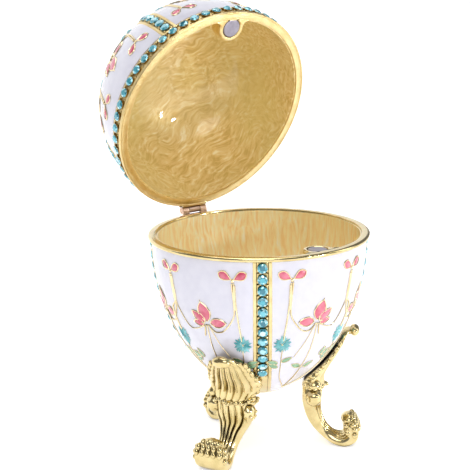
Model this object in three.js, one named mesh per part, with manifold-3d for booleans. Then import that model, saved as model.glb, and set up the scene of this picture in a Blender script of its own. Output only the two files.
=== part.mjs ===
// A footed egg box: a cast cup and a hinged lid, both inlaid with enamel and set with stones,
// on three cast scroll feet. Millimetres, +Z up, standing on Z = 0. The lid is shown open and
// closes by turning OPEN_ANGLE about the hinge pin, which lies along X.

import * as THREE from "three";
import { mergeVertices } from "three/addons/utils/BufferGeometryUtils.js";
import Module from "manifold-3d";

const wasm = await Module();
wasm.setup();

const rad = THREE.MathUtils.degToRad;

// ---- Driving dimensions ----

const RIM_HEIGHT = 65.5;       // ground to the cup's rim
const LIP_RADIUS = 32.5;       // outer edge of both rims
const LIP_THICKNESS = 1.3;
const OPEN_ANGLE = 69.5;
const CLOSED_GAP = 0.3;        // between the two rims when the lid is down
const CLEAR = 0.1;             // left round every inlaid piece

const BAND_ANGLES = [-35, 55, 145, 235];   // gem bands, from the front towards +X
const BAND_HALF = 2.65;
const CHANNEL_HALF = 1.65;
const DRAFT = 0.12;            // slope of the recess walls
const RECESS = 0.6;            // enamel recess, below the bands
const CHANNEL = 0.45;          // stone channel, below the bands
const ENAMEL_SKIN = 0.15;      // enamel surface, below the bands
const WALL = 1.4;              // bands to the bare inside of a casting
const LINING = 0.4;
const PANEL_COLUMNS = 5;       // and across it
const INNER_SEGMENTS = 30;

const STONES_PER_BAND = 12;
const STONE_HALF = 1.5;
const STONE_PROUD = 0.3;       // table of a stone, above the bands

const BELT = { low: 1.7, high: 5.1, radius: 31.9, channel: 0.5, border: 0.45 };

const MAGNET = { radius: 2.8, sides: 14, thickness: 2, reach: 27.4, boss: 4.1, bossHeight: 4.5 };
const HINGE = { y: 34.1, z: 0.8, barrel: 1.05, pin: 0.5, bore: 0.6, length: 8.7, middle: 4.1 };
const LEAF = { front: 32.95, thickness: 0.7, reach: 5.2 };
const SEAT_BACK = 32.85;       // flat behind each rim that a hinge leaf lies on

const FOOT_ANGLES = { foot_left: -67, foot_right: 53, foot_back: 173 };

const GOLD = 0xe3c878;
const ROSE_GOLD = 0xd9b48c;
const WHITE_ENAMEL = 0xf0eef6;
const PEARL_ENAMEL = 0xe8c98c;
const AQUA = 0x4fb4c4;
const STEEL = 0xbdb8c4;

// ---- Profiles ----

// One wall of the egg from its rim (t = 0) to its pole (t = 1), as radius and distance from the
// rim plane. The exponents make it blunter or more pointed than an ellipse.
class EggWall extends THREE.Curve {
  constructor({ radius, depth, start, roundness, fullness }) {
    super();
    Object.assign(this, { radius, depth, start, roundness, fullness });
  }

  getPoint(t, target = new THREE.Vector2()) {
    const angle = (t * Math.PI) / 2;
    const r = this.radius * Math.max(Math.cos(angle), 0) ** (2 / this.fullness);
    return target.set(r, this.start + this.depth * Math.sin(angle) ** (2 / this.roundness));
  }

  // The point at arc fraction u, moved inwards by inset.
  inset(u, inset) {
    const point = this.getPointAt(u);
    const along = this.getTangentAt(u);
    return new THREE.Vector2(Math.max(point.x - inset * along.y, 0), point.y + inset * along.x);
  }
}

const CUP = {
  wall: new EggWall({ radius: 31.46, depth: 47.2, start: 1.95, roundness: 1.912, fullness: 1.828 }),
  up: -1,
  panelFrom: 0.012,
  panelTo: 0.845,
  rows: 8,
  belt: null,
};

const LID = {
  wall: new EggWall({ radius: 31.5, depth: 31.4, start: 1.6, roundness: 2.5, fullness: 2.5 }),
  up: 1,
  panelFrom: 0.085,
  panelTo: 0.9,
  rows: 6,
  belt: BELT,
};

// ---- Building blocks ----

// A point at a radius and an angle from the front (-Y) towards +X.
function around(r, degrees, z) {
  return new THREE.Vector3(r * Math.sin(rad(degrees)), -r * Math.cos(rad(degrees)), z);
}

// A closed body through equal rings of points, closed by a fan at each end.
function loft(rings, startApex, endApex) {
  const count = rings[0].length;
  const middle = (ring) => ring.reduce((sum, p) => sum.add(p), new THREE.Vector3())
    .divideScalar(count);
  const points = [...rings.flat(), startApex ?? middle(rings[0]), endApex ?? middle(rings.at(-1))];
  const faces = [];
  const last = (rings.length - 1) * count;
  for (let i = 0; i < count; i++) {
    const j = (i + 1) % count;
    for (let k = 0; k < last; k += count) {
      faces.push([k + i, k + j, k + count + j], [k + i, k + count + j, k + count + i]);
    }
    faces.push([points.length - 2, j, i], [points.length - 1, last + i, last + j]);
  }
  return facingOut(new THREE.BufferGeometry().setFromPoints(points).setIndex(faces.flat()));
}

// A closed curved plate between two equal grids of points, its outside and its inside.
function plate(outside, inside) {
  const rows = outside.length;
  const columns = outside[0].length;
  const at = (side, i, j) => side * rows * columns + i * columns + j;
  const faces = [];
  const quad = (a, b, c, d) => faces.push([a, b, c], [a, c, d]);
  for (let i = 0; i + 1 < rows; i++) {
    for (let j = 0; j + 1 < columns; j++) {
      quad(at(0, i, j), at(0, i, j + 1), at(0, i + 1, j + 1), at(0, i + 1, j));
      quad(at(1, i, j), at(1, i + 1, j), at(1, i + 1, j + 1), at(1, i, j + 1));
    }
    quad(at(1, i, 0), at(0, i, 0), at(0, i + 1, 0), at(1, i + 1, 0));
    const j = columns - 1;
    quad(at(0, i, j), at(1, i, j), at(1, i + 1, j), at(0, i + 1, j));
  }
  for (let j = 0; j + 1 < columns; j++) {
    quad(at(1, 0, j), at(1, 0, j + 1), at(0, 0, j + 1), at(0, 0, j));
    const i = rows - 1;
    quad(at(0, i, j), at(0, i, j + 1), at(1, i, j + 1), at(1, i, j));
  }
  const points = [...outside.flat(), ...inside.flat()];
  return facingOut(new THREE.BufferGeometry().setFromPoints(points).setIndex(faces.flat()));
}

// Turns a closed body's faces round if they point inwards.
function facingOut(geometry) {
  const index = geometry.index;
  const places = geometry.getAttribute("position");
  const corner = (i) => new THREE.Vector3().fromBufferAttribute(places, index.getX(i));
  let volume = 0;
  for (let i = 0; i < index.count; i += 3) {
    volume += corner(i).dot(corner(i + 1).cross(corner(i + 2)));
  }
  for (let i = 0; volume < 0 && i < index.count; i += 3) {
    const second = index.getX(i + 1);
    index.setX(i + 1, index.getX(i + 2));
    index.setX(i + 2, second);
  }
  return geometry;
}

function solid(geometry) {
  const bare = new THREE.BufferGeometry();
  bare.setAttribute("position", geometry.getAttribute("position"));
  bare.setIndex(geometry.index);
  const merged = mergeVertices(bare, 1e-4);
  const vertProperties = merged.attributes.position.array;
  const triVerts = new Uint32Array(merged.index.array);
  return new wasm.Manifold(new wasm.Mesh({ numProp: 3, vertProperties, triVerts }));
}

function geometryOf(manifold) {
  const mesh = manifold.getMesh();
  const geometry = new THREE.BufferGeometry();
  geometry.setAttribute("position", new THREE.BufferAttribute(mesh.vertProperties, 3));
  geometry.setIndex(new THREE.BufferAttribute(mesh.triVerts, 1));
  return geometry;
}

// A turned body from a profile of (radius, height) points that closes on the axis.
function turned(profile, segments) {
  return facingOut(new THREE.LatheGeometry(profile, segments).rotateX(Math.PI / 2));
}

function cylinder(radius, zLow, zHigh, segments) {
  const geometry = new THREE.CylinderGeometry(radius, radius, zHigh - zLow, segments);
  return geometry.rotateX(Math.PI / 2).translate(0, 0, (zLow + zHigh) / 2);
}

function block(low, high) {
  const size = high.map((value, i) => value - low[i]);
  const centre = high.map((value, i) => (value + low[i]) / 2);
  return new THREE.BoxGeometry(...size).translate(...centre);
}

function part(name, geometry, color, roughness, metalness) {
  const material = new THREE.MeshStandardMaterial({ color, roughness, metalness });
  const mesh = new THREE.Mesh(geometry, material);
  mesh.name = name;
  return mesh;
}

// ---- Castings, enamel and linings, the same for both halves ----

// Arc fractions of the rows that the recesses and their enamel share.
function panelRows(half) {
  const rows = [];
  for (let i = 0; i <= half.rows; i++) {
    rows.push(THREE.MathUtils.lerp(half.panelFrom, half.panelTo, i / half.rows));
  }
  return rows;
}

function bandAngle(halfWidth, radius) {
  return THREE.MathUtils.radToDeg(Math.asin(Math.min(halfWidth / radius, 1)));
}

// Angles across one enamel recess at a radius, from its left edge to its right.
function panelAngles(quarter, radius, margin) {
  const edge = bandAngle(BAND_HALF + margin, radius);
  const start = BAND_ANGLES[quarter] + edge;
  const end = BAND_ANGLES[quarter] + 90 - edge;
  const angles = [];
  for (let i = 0; i <= PANEL_COLUMNS; i++) {
    angles.push(THREE.MathUtils.lerp(start, end, i / PANEL_COLUMNS));
  }
  return angles;
}

// One ring round a casting: each band with its stone channel, then the recess beside it.
function castingRing(half, u, recessed) {
  const surface = half.wall.inset(u, 0);
  const floor = half.wall.inset(u, recessed ? RECESS : 0);
  const channel = half.wall.inset(u, recessed ? CHANNEL : 0);
  const ring = [];
  const add = (point, degrees) => ring.push(around(point.x, degrees, half.up * point.y));
  BAND_ANGLES.forEach((centre, quarter) => {
    const edges = [
      [surface, BAND_HALF], [surface, CHANNEL_HALF], [channel, CHANNEL_HALF - DRAFT],
    ];
    edges.forEach(([point, width]) => add(point, centre - bandAngle(width, surface.x)));
    edges.reverse();
    edges.forEach(([point, width]) => add(point, centre + bandAngle(width, surface.x)));
    panelAngles(quarter, surface.x, DRAFT).forEach((angle) => add(floor, angle));
  });
  return ring;
}

// A plain ring with the same number of points as the casting's others.
function plainRing(half, radius, height) {
  return castingRing(half, 0, false).map((p) => {
    const flat = new THREE.Vector2(p.x, p.y).setLength(radius);
    return new THREE.Vector3(flat.x, flat.y, half.up * height);
  });
}

function bossOutline(grow) {
  const outline = new THREE.Shape();
  const wall = LIP_RADIUS - 2.1;
  const spread = rad(12);
  const flare = MAGNET.boss + grow;
  outline.absarc(0, 0, wall, -Math.PI / 2 - spread, -Math.PI / 2 + spread, false);
  outline.quadraticCurveTo(flare, -MAGNET.reach - 1.8, flare, -MAGNET.reach);
  outline.absarc(0, -MAGNET.reach, flare, 0, Math.PI, false);
  outline.quadraticCurveTo(-flare, -MAGNET.reach - 1.8, -wall * Math.sin(spread), -wall * Math.cos(spread));
  return outline;
}

// The boss that holds a magnet, from just inside the rim plane to a height beyond it.
function boss(half, from, to, grow) {
  const options = { depth: to - from, bevelEnabled: false, curveSegments: 4 };
  const body = new THREE.ExtrudeGeometry(bossOutline(grow), options);
  return body.translate(0, 0, half.up > 0 ? from : -to);
}

function mirrored(half, zNear, zFar) {
  return half.up > 0 ? [zNear, zFar] : [-zFar, -zNear];
}

// Radius and height points down the inside of a half, at an inset from the bands.
function insideProfile(half, inset, rimHeight) {
  const points = [new THREE.Vector2(half.wall.inset(0, inset).x, half.up * rimHeight)];
  const steps = 4;
  for (let i = 0; i < steps; i++) {
    const point = half.wall.inset((0.96 * i) / steps, inset);
    points.push(new THREE.Vector2(point.x, half.up * point.y));
  }
  const pole = half.wall.inset(1, inset);
  points.push(new THREE.Vector2(0, half.up * pole.y));
  return points;
}

function cavity(half, inset) {
  const profile = insideProfile(half, inset, -1);
  profile.unshift(new THREE.Vector2(0, -half.up));
  return solid(turned(half.up > 0 ? profile.reverse() : profile, INNER_SEGMENTS));
}

// The flat behind a rim that a hinge leaf is fixed to.
function hingeSeat(half, grow) {
  const reach = HINGE.length / 2 + grow;
  const [low, high] = mirrored(half, 0, LEAF.reach + 1 + grow);
  return solid(block([-reach, SEAT_BACK - 4, low], [reach, SEAT_BACK, high]));
}

function casting(half) {
  const { wall, belt } = half;
  const pole = wall.inset(1, 0);
  const rings = [plainRing(half, wall.inset(0.93, 0).x, wall.inset(0.93, 0).y)];
  const rows = panelRows(half).reverse();
  rings.push(castingRing(half, rows[0] + 0.004, false));
  rows.forEach((u) => rings.push(castingRing(half, u, true)));
  rings.push(castingRing(half, half.panelFrom - 0.004, false));
  if (belt) {
    const floor = belt.radius - belt.channel;
    rings.push(plainRing(half, belt.radius, belt.high));
    rings.push(plainRing(half, floor, belt.high - belt.border));
    rings.push(plainRing(half, floor, belt.low + belt.border));
    rings.push(plainRing(half, belt.radius, belt.low));
  }
  rings.push(plainRing(half, LIP_RADIUS, LIP_THICKNESS));
  rings.push(plainRing(half, LIP_RADIUS - 0.1, 0));
  const outside = loft(rings, new THREE.Vector3(0, 0, half.up * pole.y));
  const [pocketLow, pocketHigh] = mirrored(half, -1, MAGNET.thickness + 0.5);
  const pocket = cylinder(MAGNET.radius + CLEAR, pocketLow, pocketHigh, MAGNET.sides)
    .translate(0, -MAGNET.reach, 0);
  return solid(outside)
    .add(hingeSeat(half, 0))
    .subtract(cavity(half, WALL))
    .add(solid(boss(half, 0, MAGNET.bossHeight, 0)))
    .subtract(solid(pocket));
}

function enamelPanel(half, quarter) {
  const rows = panelRows(half);
  const reach = (half.panelTo - half.panelFrom) * 0.005;
  rows[0] += reach;
  rows[rows.length - 1] -= reach;
  const skin = (inset) => rows.map((u) => {
    const point = half.wall.inset(u, inset);
    const angles = panelAngles(quarter, half.wall.inset(u, 0).x, DRAFT + CLEAR);
    return angles.map((angle) => around(point.x, angle, half.up * point.y));
  });
  const panel = plate(skin(ENAMEL_SKIN), skin(RECESS - CLEAR));
  const behindHinge = Math.abs(BAND_ANGLES[quarter] + 45 - 180) < 45;
  return behindHinge ? geometryOf(solid(panel).subtract(hingeSeat(half, CLEAR))) : panel;
}

function lining(half) {
  const outer = insideProfile(half, WALL + CLEAR, 0.5);
  const inner = insideProfile(half, WALL + LINING, 0.5).reverse();
  const profile = half.up > 0 ? [...inner, ...outer] : [...inner, ...outer].reverse();
  const keepOut = solid(boss(half, -1, MAGNET.bossHeight + 0.3, 0.3));
  return solid(turned(profile, INNER_SEGMENTS)).subtract(keepOut);
}

// The stones of one band, touching at their girdles, as one string down the channel.
function stoneString(half, quarter) {
  const { wall } = half;
  const length = wall.getLength();
  const first = half.panelFrom + 0.9 / length;
  const last = half.panelTo - 0.8 / length;
  const pitch = (last - first) / STONES_PER_BAND;
  const section = (u, halfWidth, tableHalf, table) => {
    const girdle = wall.inset(u, CHANNEL - CLEAR);
    const top = wall.inset(u, -table);
    const lower = [-1, 1].map((side) => side * bandAngle(halfWidth, girdle.x));
    const upper = [1, -1].map((side) => side * bandAngle(tableHalf, top.x));
    return [
      ...lower.map((a) => around(girdle.x, BAND_ANGLES[quarter] + a, half.up * girdle.y)),
      ...upper.map((a) => around(top.x, BAND_ANGLES[quarter] + a, half.up * top.y)),
    ];
  };
  const sections = [];
  for (let i = 0; i < STONES_PER_BAND; i++) {
    const start = first + i * pitch;
    sections.push(section(start, 0.7, 0.45, -0.15));
    sections.push(section(start + 0.5 * pitch, STONE_HALF, 0.75, STONE_PROUD));
  }
  sections.push(section(last, 0.7, 0.45, -0.15));
  return loft(sections);
}

function magnet(half) {
  const [low, high] = mirrored(half, 0.05, 0.05 + MAGNET.thickness);
  return cylinder(MAGNET.radius, low, high, MAGNET.sides).translate(0, -MAGNET.reach, 0);
}

// Adds one half's casting, enamel, lining, stones and magnet to its group.
function addHalf(group, half, name) {
  group.add(part(name, geometryOf(casting(half)), GOLD, 0.25, 1));
  group.add(part(name + "_lining", geometryOf(lining(half)), PEARL_ENAMEL, 0.25, 0));
  BAND_ANGLES.forEach((_, i) => {
    group.add(part(name + "_enamel_" + (i + 1), enamelPanel(half, i), WHITE_ENAMEL, 0.15, 0));
    group.add(part(name + "_stones_" + (i + 1), stoneString(half, i), AQUA, 0.08, 0));
  });
  group.add(part(name + "_magnet", magnet(half), STEEL, 0.3, 1));
}

// ---- Feet ----

// Sections down the middle of a foot, from the scroll at its top, over the shell that lies on
// the egg, the ruffle below it and the ankle, to the curled toe: distance from the egg's axis,
// height from the rim plane, half width, depth to the front and to the back, and the depth of
// the flutes on the front and on the back.
const FOOT_SECTIONS = [
  [29.3, -31.4, 1.3, 0.5, 0.6, 0, 0],
  [28.4, -31.5, 2.2, 1.2, 1.3, 0, 0],
  [26.9, -31.2, 1.7, 0.7, 0.8, 0, 0],
  [25.3, -31.7, 1.6, 0.7, 0.8, 0, 0],
  [24.1, -33.2, 2.8, 0.8, 0.7, 0.15, 0],
  [23.1, -35.2, 5.0, 1.0, 0.7, 0.4, 0],
  [21.5, -37.8, 6.4, 1.2, 0.8, 0.6, 0],
  [19.3, -40.4, 7.4, 1.5, 1.0, 0.7, 0],
  [17.2, -42.7, 8.4, 2.1, 1.6, 0.8, 0],
  [15.9, -45.0, 8.7, 4.2, 3.2, 0.8, 0.2],
  [15.4, -47.0, 7.0, 4.3, 3.1, 0.9, 0.3],
  [15.2, -48.6, 7.6, 3.4, 2.9, 0.7, 0.4],
  [15.1, -51.4, 8.7, 3.1, 2.8, 0.8, 0.4],
  [15.3, -54.2, 7.3, 2.8, 2.4, 0.9, 0.3],
  [16.1, -56.9, 4.6, 2.4, 2.1, 0.8, 0.2],
  [17.6, -59.6, 3.3, 2.1, 1.9, 0.5, 0.2],
  [19.7, -62.1, 3.4, 1.8, 1.9, 0.3, 0.3],
  [22.2, -63.9, 4.3, 1.7, 1.9, 0.2, 0.4],
  [24.9, -64.3, 5.0, 1.9, 1.9, 0.2, 0.6],
  [27.0, -62.9, 5.3, 2.1, 2.2, 0.2, 0.7],
  [27.7, -60.7, 5.3, 2.3, 2.0, 0.2, 0.7],
  [27.2, -58.8, 4.9, 2.2, 1.9, 0.3, 0.6],
  [26.7, -57.3, 3.4, 1.3, 1.1, 0.2, 0.3],
];
const FRONT_STEPS = 8;         // ridges and grooves across the front of a foot
const BACK_STEPS = 4;
const PLATE_CURL = 0.6;        // how far a foot's edges fall back

// One section's outline, as offsets across the foot and along its front normal.
function footOutline([, , halfWidth, front, back, frontFlute, backFlute]) {
  const outline = [];
  const side = (steps, first, depth, flute, sign) => {
    for (let step = first; step <= steps - first; step++) {
      const v = sign * ((2 * step) / steps - 1);
      const groove = step % 2 === 1 ? flute : 0;
      const height = Math.max(depth * (1 - v * v) ** 0.4 - groove, 0.1 * depth);
      outline.push([v * halfWidth, Math.abs(v) === 1 ? 0 : sign * height]);
    }
  };
  side(FRONT_STEPS, 0, front, frontFlute, 1);
  side(BACK_STEPS, 1, back, backFlute, -1);
  return outline.map(([t, n]) => [t, n - PLATE_CURL * (t / 8.7) ** 2]);
}

function footGeometry(degrees) {
  const rings = FOOT_SECTIONS.map((section, i) => {
    const before = FOOT_SECTIONS[Math.max(i - 1, 0)];
    const after = FOOT_SECTIONS[Math.min(i + 1, FOOT_SECTIONS.length - 1)];
    const along = new THREE.Vector2(after[0] - before[0], after[1] - before[1]).normalize();
    return footOutline(section).map(([t, n]) => {
      const reach = section[0] - n * along.y;
      return new THREE.Vector3(t, -reach, section[1] + n * along.x);
    });
  });
  const egg = [new THREE.Vector2(0, -CUP.wall.inset(1, -0.45).y)];
  for (let u = 0.96; u > 0.3; u -= 0.08) {
    const point = CUP.wall.inset(u, -0.45);
    egg.push(new THREE.Vector2(point.x, -point.y));
  }
  egg.push(new THREE.Vector2(0, egg.at(-1).y));
  const below = block([-20, -40, -RIM_HEIGHT - 5], [20, 0, -RIM_HEIGHT]);
  const foot = solid(loft(rings)).subtract(solid(turned(egg, INNER_SEGMENTS))).subtract(solid(below));
  return geometryOf(foot).rotateZ(rad(degrees));
}

// ---- Hinge ----

// A bored barrel along X between two places.
function knuckle(xLow, xHigh) {
  const ring = cylinder(HINGE.barrel, xLow, xHigh, 12).rotateY(Math.PI / 2);
  return solid(ring.translate(0, HINGE.y, HINGE.z));
}

function leafPlate(xHalf, zLow, zHigh) {
  const back = LEAF.front + LEAF.thickness;
  return solid(block([-xHalf, LEAF.front, zLow], [xHalf, back, zHigh]));
}

function bore() {
  const rod = cylinder(HINGE.bore, -HINGE.length, HINGE.length, 12).rotateY(Math.PI / 2);
  return solid(rod.translate(0, HINGE.y, HINGE.z));
}

function hingeLeaf(middle) {
  const reach = HINGE.length / 2;
  const joint = HINGE.middle / 2;
  const turn = HINGE.barrel + 0.15;
  if (middle) {
    const plate = leafPlate(reach, HINGE.z + turn, HINGE.z + LEAF.reach);
    const tab = leafPlate(joint - 0.15, HINGE.z, HINGE.z + turn + 0.5);
    return plate.add(tab).add(knuckle(-joint + 0.15, joint - 0.15)).subtract(bore());
  }
  const tongue = leafPlate(reach, HINGE.z - turn - 0.5, HINGE.z)
    .subtract(leafPlate(joint, HINGE.z - turn, HINGE.z + 1));
  return leafPlate(reach, HINGE.z - LEAF.reach, HINGE.z - turn)
    .add(tongue)
    .add(knuckle(-reach, -joint))
    .add(knuckle(joint, reach))
    .subtract(bore());
}

// ---- Assembly ----

const egg = new THREE.Group();

const base = new THREE.Group();
base.position.z = RIM_HEIGHT;
addHalf(base, CUP, "cup");
for (const [name, degrees] of Object.entries(FOOT_ANGLES)) {
  base.add(part(name, footGeometry(degrees), GOLD, 0.25, 1));
}
base.add(part("hinge_cup_leaf", geometryOf(hingeLeaf(false)), ROSE_GOLD, 0.35, 1));
const pin = cylinder(HINGE.pin, -HINGE.length / 2, HINGE.length / 2, 12).rotateY(Math.PI / 2);
base.add(part("hinge_pin", pin.translate(0, HINGE.y, HINGE.z), ROSE_GOLD, 0.35, 1));

const swing = new THREE.Group();
swing.position.set(0, HINGE.y, RIM_HEIGHT + HINGE.z);
swing.rotation.x = -rad(OPEN_ANGLE);
const lid = new THREE.Group();
lid.position.set(0, -HINGE.y, CLOSED_GAP - HINGE.z);
addHalf(lid, LID, "lid");
const lidLeaf = geometryOf(hingeLeaf(true)).translate(0, 0, -CLOSED_GAP);
lid.add(part("hinge_lid_leaf", lidLeaf, ROSE_GOLD, 0.35, 1));
swing.add(lid);

egg.add(base, swing);

// The origin is on the ground, under the middle of the box's whole extent.
egg.updateMatrixWorld(true);
const extent = new THREE.Box3().setFromObject(egg, true);
const middle = extent.getCenter(new THREE.Vector3());
egg.children.forEach((half) => half.position.sub(new THREE.Vector3(middle.x, middle.y, 0)));

export default egg;
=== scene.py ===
"""An open enamelled egg trinket box on three cast feet, in gold, enamel and cut stones.

The lengths in the sections are millimetres in the egg's own frame: the rim plane is z = 0, the
egg's axis is x = y = 0, and the front is -Y. Each half is drawn closed, then set in its place.
"""
import math

import bmesh
import bpy
import numpy as np
from mathutils import Matrix, Vector


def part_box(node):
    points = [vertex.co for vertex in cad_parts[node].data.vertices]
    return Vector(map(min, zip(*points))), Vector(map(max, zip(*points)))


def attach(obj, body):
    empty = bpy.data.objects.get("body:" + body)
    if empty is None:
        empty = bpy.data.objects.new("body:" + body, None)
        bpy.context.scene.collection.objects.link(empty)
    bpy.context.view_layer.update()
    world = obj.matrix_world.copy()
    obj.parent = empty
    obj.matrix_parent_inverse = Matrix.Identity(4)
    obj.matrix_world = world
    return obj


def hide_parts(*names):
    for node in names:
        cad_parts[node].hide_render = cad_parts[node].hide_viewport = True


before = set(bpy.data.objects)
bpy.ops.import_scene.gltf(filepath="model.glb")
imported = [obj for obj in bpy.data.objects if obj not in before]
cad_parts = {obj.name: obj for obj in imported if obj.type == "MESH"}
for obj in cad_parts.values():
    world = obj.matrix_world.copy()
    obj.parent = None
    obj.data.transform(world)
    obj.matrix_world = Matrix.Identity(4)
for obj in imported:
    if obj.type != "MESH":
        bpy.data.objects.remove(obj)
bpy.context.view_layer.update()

# ---- The place of the two halves ----
# The hinge pin joins cup and lid, so both are placed from it: the egg's axis stands in front of
# it, and the open lid leans back round it.
pin_low, pin_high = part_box("hinge_pin")
pin = (pin_low + pin_high) / 2
PIN_BEHIND_AXIS = 34.1
PIN_ABOVE_RIM = 0.8
CLOSED_GAP = 0.3
OPEN_ANGLE = 69.5

rim_middle = pin + Vector((0, -PIN_BEHIND_AXIS, -PIN_ABOVE_RIM)) / 1000
cup_place = Matrix.Translation(rim_middle) @ Matrix.Scale(0.001, 4)
lid_place = (
    Matrix.Translation(pin)
    @ Matrix.Rotation(math.radians(-OPEN_ANGLE), 4, "X")
    @ Matrix.Scale(0.001, 4)
    @ Matrix.Translation((0, -PIN_BEHIND_AXIS, CLOSED_GAP - PIN_ABOVE_RIM))
)

# ---- The camera ----
# A long lens looks a little down at the open egg from its front left.
CAMERA_DISTANCE = 0.455
CAMERA_AZIMUTH = math.radians(-36.607)
CAMERA_ELEVATION = math.radians(13.401)
CAMERA_YAW = math.radians(-35.700)
CAMERA_PITCH = math.radians(13.534)
CAMERA_ROLL = math.radians(-0.825)

camera = bpy.data.objects.new("camera", bpy.data.cameras.new("camera"))
camera.data.lens = 118.91
camera.data.sensor_width = 36.0
camera.data.clip_start = 0.01
flat = math.cos(CAMERA_ELEVATION)
camera_at = rim_middle + CAMERA_DISTANCE * Vector(
    (math.sin(CAMERA_AZIMUTH) * flat, -math.cos(CAMERA_AZIMUTH) * flat, math.sin(CAMERA_ELEVATION))
)
camera.matrix_world = (
    Matrix.Translation(camera_at)
    @ Matrix.Rotation(CAMERA_YAW, 4, "Z")
    @ Matrix.Rotation(math.radians(90) - CAMERA_PITCH, 4, "X")
    @ Matrix.Rotation(CAMERA_ROLL, 4, "Z")
)
bpy.context.scene.collection.objects.link(camera)
bpy.context.scene.camera = camera

# ---- The cup's casting ----
# The lower half of the egg: one gold-plated casting with a rounded lip, four bands that hold the
# stones, sunk fields for the enamel between them and a boss inside the front for the magnet.
BAND_ANGLES = (-35, 55, 145, 235)
PANEL_DEPTH = 0.6
CHANNEL_DEPTH = 0.45
# Half widths across one band from its edge to its middle, with how deep the gold lies there:
# p is the enamel's field, c the stones' channel, and a number a depth.
BAND_SECTION = (
    (2.78, "p"), (2.68, 0.10), (2.62, 0.02), (2.52, -0.03), (2.35, -0.04), (2.1, -0.05),
    (1.9, -0.04), (1.78, 0.0), (1.70, 0.08), (1.64, 0.25), (1.60, "c"), (0.8, "c"),
)
WALL = 1.4
# The casting's inside, which the lining covers by a hair.
INSIDE = 0.05 - WALL


class EggWall:
    """The outline of half an egg from its rim to its pole, measured along its length, with where
    the half is placed and the body it moves with."""

    def __init__(self, name, place, body, radius, depth, start, roundness, fullness, up, bands, stones):
        self.name, self.place, self.body = name, place, body
        turn = np.linspace(0, math.pi / 2, 4001)
        self.radius = radius * np.maximum(np.cos(turn), 0) ** (2 / fullness)
        self.height = start + depth * np.sin(turn) ** (2 / roundness)
        steps = np.hypot(np.diff(self.radius), np.diff(self.height))
        self.along = np.concatenate([[0], np.cumsum(steps)])
        self.length = self.along[-1]
        across = np.gradient(self.radius, self.along)
        rise = np.gradient(self.height, self.along)
        size = np.hypot(across, rise)
        self.across, self.rise = across / size, rise / size
        self.up = up
        self.bands_from, self.bands_to = bands
        self.stones_from, self.stones_to = stones

    def at(self, s, lift=0.0):
        """Radius and distance from the rim plane at a length s, lifted off the surface."""
        read = lambda values: np.interp(s, self.along, values)
        radius = read(self.radius) + lift * read(self.rise)
        height = read(self.height) + np.minimum(s, 0) - lift * read(self.across)
        return np.maximum(radius, 0), height

    def point(self, degrees, s, lift=0.0):
        """Points on the egg at angles from the front towards +X and lengths from the rim."""
        radius, height = self.at(s, lift)
        turn = np.radians(degrees)
        height = height + 0 * turn
        return np.stack([radius * np.sin(turn), -radius * np.cos(turn), self.up * height], -1)


CUP = EggWall(
    "cup", cup_place, "base", 31.46, 47.2, 1.95, 1.912, 1.828, -1, (-0.56, 52.0), (-0.55, 39.4)
)


def band_degrees(half_width, radius):
    return np.degrees(np.arcsin(np.minimum(half_width / np.maximum(radius, 1e-6), 0.9999)))


def grid_faces(rows, columns, first=0, closed=False):
    """Quads between the rows of a grid of points; closed joins the last column to the first."""
    faces = []
    for i in range(rows - 1):
        for j in range(columns if closed else columns - 1):
            k = (j + 1) % columns
            a, b = first + i * columns, first + (i + 1) * columns
            faces.append((a + j, b + j, b + k, a + k))
    return faces


def capped_grid(rows, columns):
    """Quads round a closed tube of rings, with a flat face on its first and last ring."""
    faces = grid_faces(rows, columns, closed=True)
    last = (rows - 1) * columns
    return faces + [tuple(range(columns)), tuple(last + j for j in range(columns))]


class Shape:
    """Points and faces gathered into one piece, with the number of each face's material."""

    def __init__(self):
        self.points, self.faces, self.slots, self.count = [], [], [], 0

    def add(self, points, faces, slot=0):
        points = np.asarray(points, float).reshape(-1, 3)
        self.points.append(points)
        self.faces += [tuple(self.count + v for v in face) for face in faces]
        self.slots += [slot] * len(faces)
        self.count += len(points)

    def piece(self, name, half, materials, slot, stands_for=None, crease=38.0):
        """Makes the object in its half's place, its faces turned outwards, and lets it ride."""
        mesh = bpy.data.meshes.new(name)
        place = np.array(half.place)
        world = np.concatenate(self.points) @ place[:3, :3].T + place[:3, 3]
        mesh.from_pydata(world.tolist(), [], self.faces)
        mesh.validate()
        turned = bmesh.new()
        turned.from_mesh(mesh)
        bmesh.ops.recalc_face_normals(turned, faces=turned.faces)
        turned.to_mesh(mesh)
        turned.free()
        for material in materials:
            mesh.materials.append(material)
        if len(self.slots) == len(mesh.polygons):
            mesh.polygons.foreach_set("material_index", self.slots)
        mesh.shade_smooth()
        mesh.set_sharp_from_angle(angle=math.radians(crease))
        mesh.update()
        made = bpy.data.objects.new(name, mesh)
        bpy.context.scene.collection.objects.link(made)
        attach(made, half.body)
        if stands_for:
            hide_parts(stands_for)


def band_columns(radius, panel_steps):
    """Angles round a ring with the band sections in them, and each one's depth key."""
    degrees, keys = [], []
    for centre in BAND_ANGLES:
        for width, key in BAND_SECTION:
            degrees.append(centre - band_degrees(width, radius))
            keys.append(key)
        for width, key in reversed(BAND_SECTION):
            degrees.append(centre + band_degrees(width, radius))
            keys.append(key)
        edge = band_degrees(BAND_SECTION[0][0], radius)
        for i in range(1, panel_steps):
            degrees.append(centre + edge + (90 - 2 * edge) * i / panel_steps)
            keys.append("p")
    return np.array(degrees), keys


PANEL_STEPS = 28


def casting_ring(half, s, depth_share):
    """One ring of the casting; depth_share fades the fields and channels out at their ends."""
    radius = half.at(s)[0]
    degrees, keys = band_columns(radius, PANEL_STEPS)
    has_stones = half.stones_from - 0.2 < s < half.stones_to
    deep = {"p": PANEL_DEPTH, "c": CHANNEL_DEPTH if has_stones else 0.06}
    lift = np.array([-(deep[k] if isinstance(k, str) else k) for k in keys]) * depth_share
    return half.point(degrees, np.full(len(degrees), s), lift)


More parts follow.
